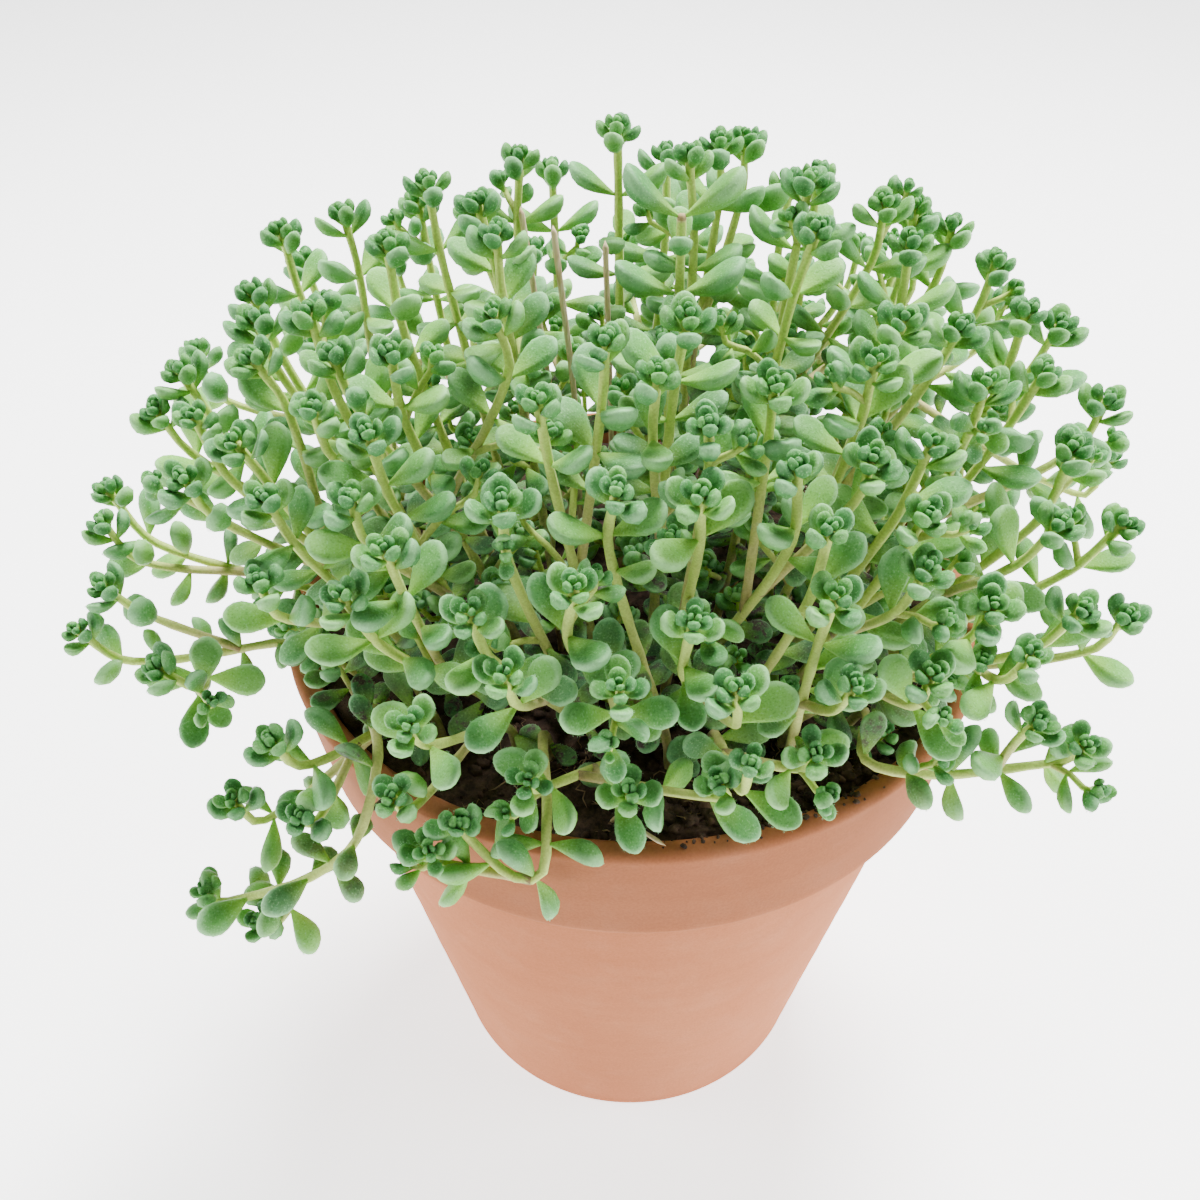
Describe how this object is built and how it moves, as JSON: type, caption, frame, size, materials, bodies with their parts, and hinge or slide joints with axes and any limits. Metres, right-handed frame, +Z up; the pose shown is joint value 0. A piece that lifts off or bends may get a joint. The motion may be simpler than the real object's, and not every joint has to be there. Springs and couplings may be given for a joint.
{
  "type": "potted sedum",
  "caption": "Small succulent in a tapered clay pot: a loose rounded cushion of wiry, forking stems with plump leaves and end rosettes that spills over the rim.",
  "frame": {"origin": "on the pot's axis, in the plane of the base that it stands on", "axes": "+Z up along the pot's axis, -Y to the front of the picture, +X to its right"},
  "size_m": [0.1161, 0.0888, 0.1249],
  "materials": {
    "terracotta": "matte fired clay",
    "soil": "loose peaty compost",
    "leaf_green": "soft waxy leaf with a mealy bloom"
  },
  "bodies": {
    "root": {"pot": "terracotta", "soil": "soil", "shoot_01": "leaf_green", "shoot_02": "leaf_green", "shoot_03": "leaf_green", "shoot_04": "leaf_green", "shoot_05": "leaf_green", "shoot_06": "leaf_green", "shoot_07": "leaf_green", "shoot_08": "leaf_green", "shoot_09": "leaf_green", "shoot_10": "leaf_green", "shoot_11": "leaf_green", "shoot_12": "leaf_green", "shoot_13": "leaf_green", "shoot_14": "leaf_green", "shoot_15": "leaf_green", "shoot_16": "leaf_green", "shoot_17": "leaf_green", "shoot_18": "leaf_green", "shoot_19": "leaf_green", "shoot_20": "leaf_green", "shoot_21": "leaf_green", "shoot_22": "leaf_green", "shoot_23": "leaf_green", "shoot_24": "leaf_green", "shoot_25": "leaf_green", "shoot_26": "leaf_green", "shoot_27": "leaf_green", "shoot_28": "leaf_green", "shoot_29": "leaf_green", "shoot_30": "leaf_green", "shoot_31": "leaf_green", "shoot_32": "leaf_green", "shoot_33": "leaf_green", "shoot_34": "leaf_green", "shoot_35": "leaf_green", "shoot_36": "leaf_green", "shoot_37": "leaf_green", "shoot_38": "leaf_green", "shoot_39": "leaf_green", "shoot_40": "leaf_green", "shoot_41": "leaf_green", "shoot_42": "leaf_green", "shoot_43": "leaf_green", "shoot_44": "leaf_green", "shoot_45": "leaf_green", "shoot_46": "leaf_green", "shoot_47": "leaf_green", "shoot_48": "leaf_green", "shoot_49": "leaf_green", "shoot_50": "leaf_green", "shoot_51": "leaf_green", "shoot_52": "leaf_green", "shoot_53": "leaf_green", "shoot_54": "leaf_green", "shoot_55": "leaf_green", "shoot_56": "leaf_green", "shoot_57": "leaf_green", "shoot_58": "leaf_green"}
  },
  "joints": []
}
